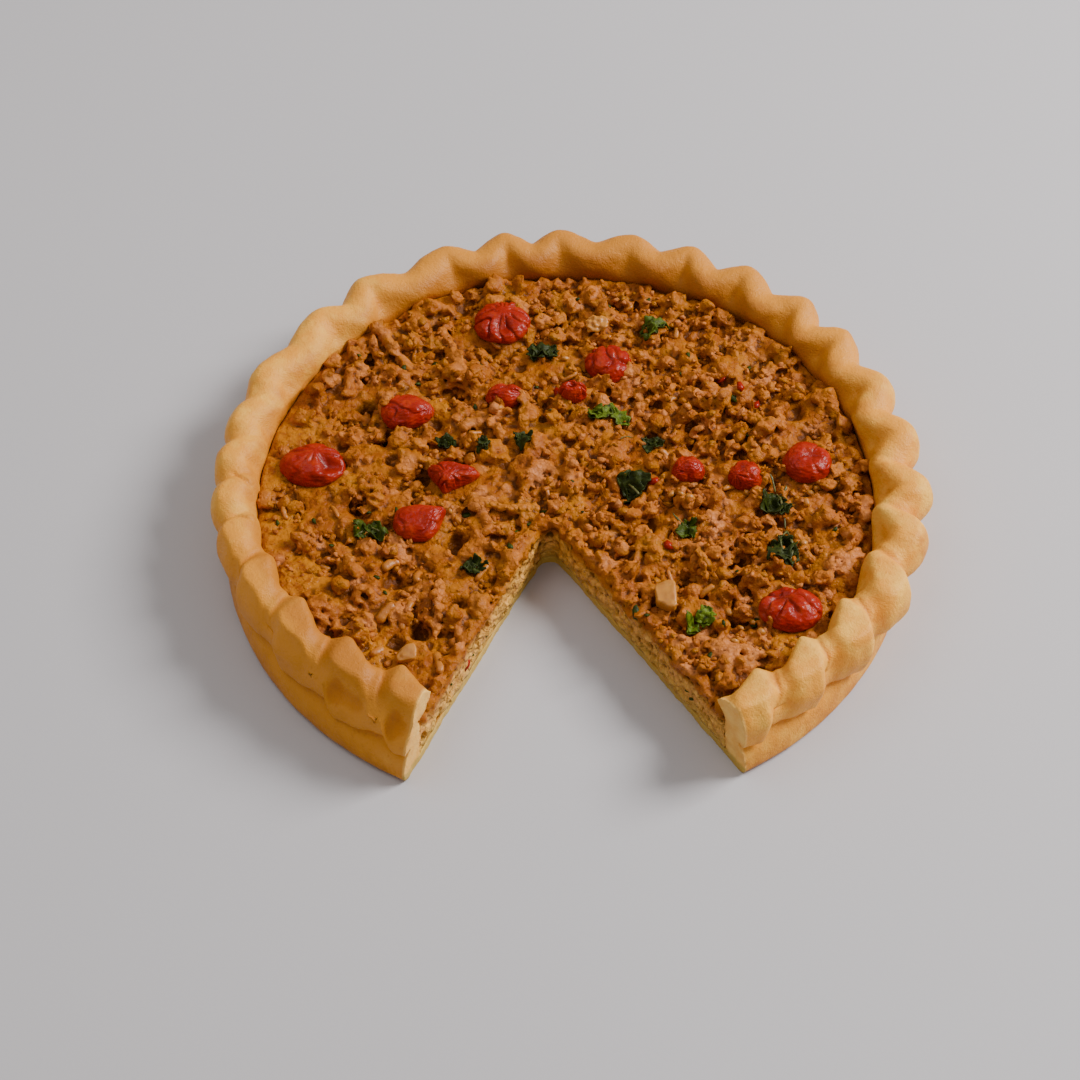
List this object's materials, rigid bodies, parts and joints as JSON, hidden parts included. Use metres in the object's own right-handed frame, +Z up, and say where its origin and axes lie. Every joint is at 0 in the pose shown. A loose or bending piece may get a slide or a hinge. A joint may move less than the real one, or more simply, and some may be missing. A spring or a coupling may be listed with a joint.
{
  "type": "tuna tart",
  "caption": "Round savoury tuna tart with a hand-fluted pastry rim, a crumbly baked filling with tomato pieces and herbs, and one slice cut out.",
  "frame": {"origin": "in the underside of the base, on the axis of the round case; the missing slice is in front of it", "axes": "+Z up through the tart, -Y towards the missing slice, +X to the right of someone facing that gap"},
  "size_m": [0.2441, 0.2293, 0.029],
  "materials": {
    "pastry": "baked shortcrust, pale gold, browner on the crests and at the foot",
    "filling": "baked tuna and custard, moist, orange brown on top and cream where cut",
    "tomato": "wet wrinkled tomato skin",
    "herb": "baked dark green leaf",
    "onion": "pale cooked onion"
  },
  "bodies": {
    "root": {"crust": "pastry", "filling": "filling", "tomato_01": "tomato", "tomato_02": "tomato", "tomato_03": "tomato", "tomato_04": "tomato", "tomato_05": "tomato", "tomato_06": "tomato", "tomato_07": "tomato", "tomato_08": "tomato", "tomato_09": "tomato", "tomato_10": "tomato", "tomato_11": "tomato", "tomato_12": "tomato", "leaf_01": "herb", "leaf_02": "herb", "leaf_03": "herb", "leaf_04": "herb", "leaf_05": "herb", "leaf_06": "herb", "leaf_07": "herb", "leaf_08": "herb", "leaf_09": "herb", "leaf_10": "herb", "leaf_11": "herb", "leaf_12": "herb", "leaf_13": "herb", "leaf_14": "herb", "onion_slice_01": "onion", "onion_slice_02": "onion", "onion_slice_03": "onion"}
  },
  "joints": []
}
